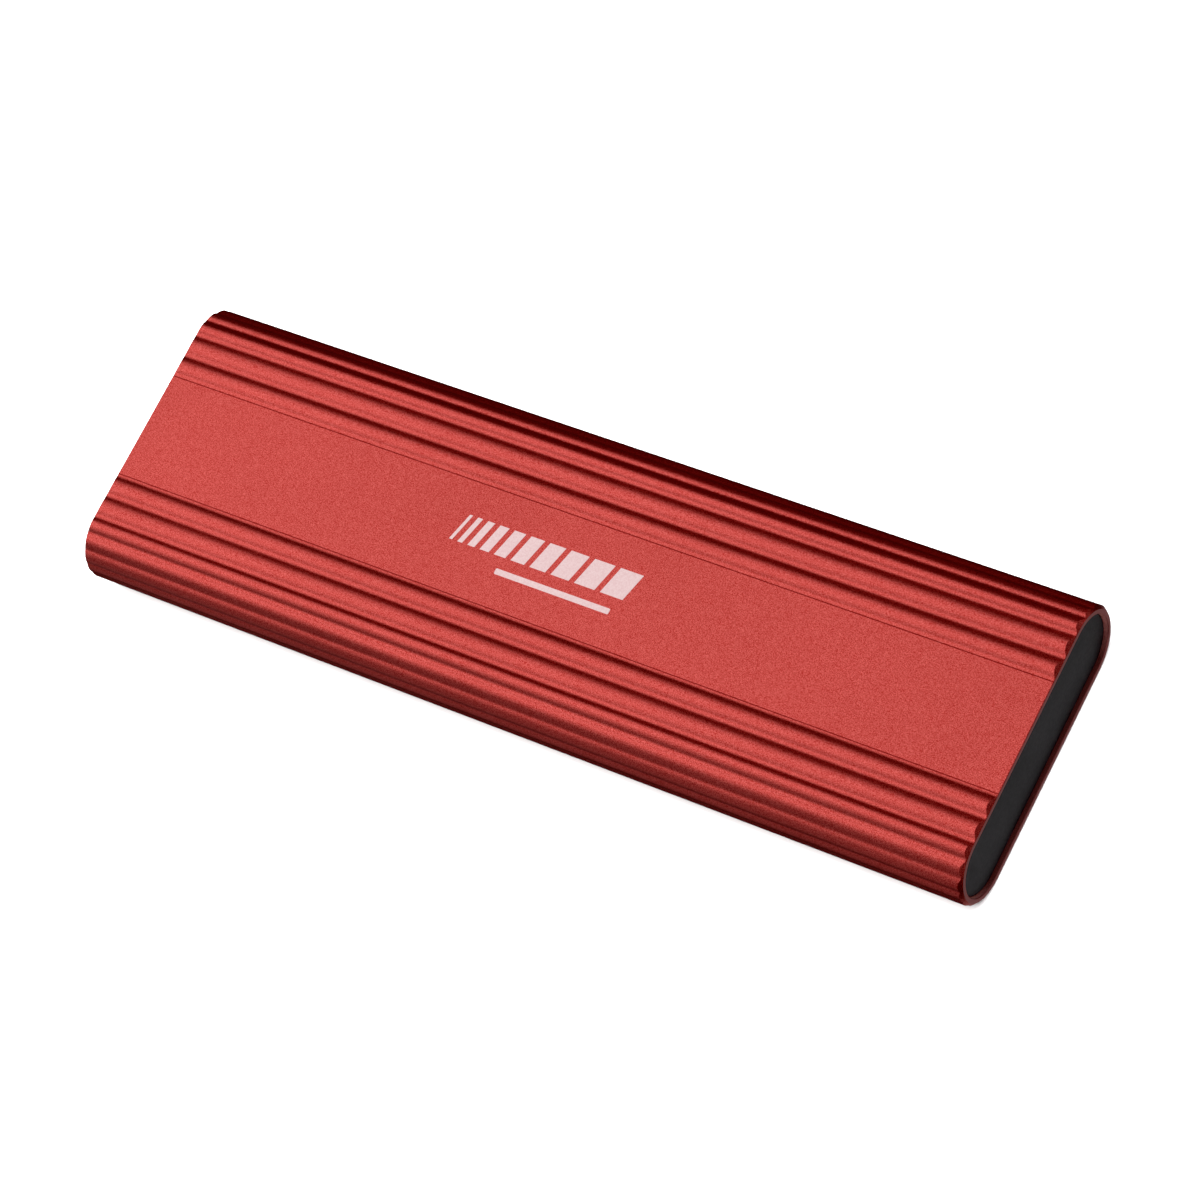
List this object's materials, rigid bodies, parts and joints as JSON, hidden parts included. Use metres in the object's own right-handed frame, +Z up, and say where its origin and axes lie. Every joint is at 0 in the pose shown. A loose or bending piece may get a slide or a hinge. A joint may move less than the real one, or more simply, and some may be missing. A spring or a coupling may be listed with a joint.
{
  "type": "solid state drive",
  "caption": "Slim pocket solid state drive: ribbed round-edged aluminium sleeve with recessed plastic end caps around a circuit board, flash memory and a USB-C port.",
  "frame": {"origin": "middle of the underside, on the plane the lower rib crests rest on", "axes": "+X along the drive towards the blind rear cap, -X towards the USB-C port; +Y across; +Z up, out of the flat upper band"},
  "size_m": [0.1, 0.0302, 0.0086],
  "materials": {
    "anodised_sleeve": "fine bead-blasted, red anodised, satin",
    "cap_plastic": "moulded, fine texture, matte",
    "clear_plastic": "clear moulded light pipe, polished",
    "tray_plastic": "moulded, lightly textured",
    "board_laminate": "glass-epoxy laminate with solder mask",
    "screw_steel": "nickel-plated steel",
    "stamped_steel": "stamped stainless steel",
    "contact_gold": "gold-plated copper alloy",
    "connector_plastic": "glass-filled moulding",
    "package_resin": "epoxy moulding compound, laser-matte",
    "ferrite": "moulded metal-powder core",
    "crystal_can": "seam-sealed metal can",
    "led_resin": "diffused resin",
    "capacitor_ceramic": "multilayer ceramic with tinned ends",
    "resistor_ceramic": "glazed black resistor element on alumina",
    "thermal_silicone": "soft grey silicone gap pad",
    "film_polyester": "black polyester film, semi-gloss",
    "spring_bronze": "gold-flashed spring bronze"
  },
  "bodies": {
    "case": {"sleeve": "anodised_sleeve"},
    "core": {"front_cap": "cap_plastic", "light_pipe": "clear_plastic", "carrier_tray": "tray_plastic", "main_board": "board_laminate", "board_screws": "screw_steel", "usb_c_shell": "stamped_steel", "usb_c_mid_plate": "stamped_steel", "usb_c_contacts": "contact_gold", "usb_c_insulator": "connector_plastic", "controller_ic": "package_resin", "flash_packages_top": "package_resin", "flash_packages_bottom": "package_resin", "firmware_flash": "package_resin", "power_controller": "package_resin", "power_inductors": "ferrite", "crystal": "crystal_can", "status_led": "led_resin", "ceramic_capacitors": "capacitor_ceramic", "chip_resistors": "resistor_ceramic", "bulk_capacitors": "package_resin", "esd_arrays": "package_resin", "thermal_pad_controller": "thermal_silicone", "thermal_pad_flash": "thermal_silicone", "thermal_pad_lower": "thermal_silicone", "insulating_film": "film_polyester", "ground_spring": "spring_bronze"},
    "rear_plug": {"rear_cap": "cap_plastic"}
  },
  "joints": [
    {"name": "core_slide", "type": "slide", "parent": "case", "child": "core", "axis": [-1, 0, 0], "range_m": [0, 0.092]},
    {"name": "rear_cap_pull", "type": "slide", "parent": "case", "child": "rear_plug", "axis": [1, 0, 0], "range_m": [0, 0.008]}
  ]
}
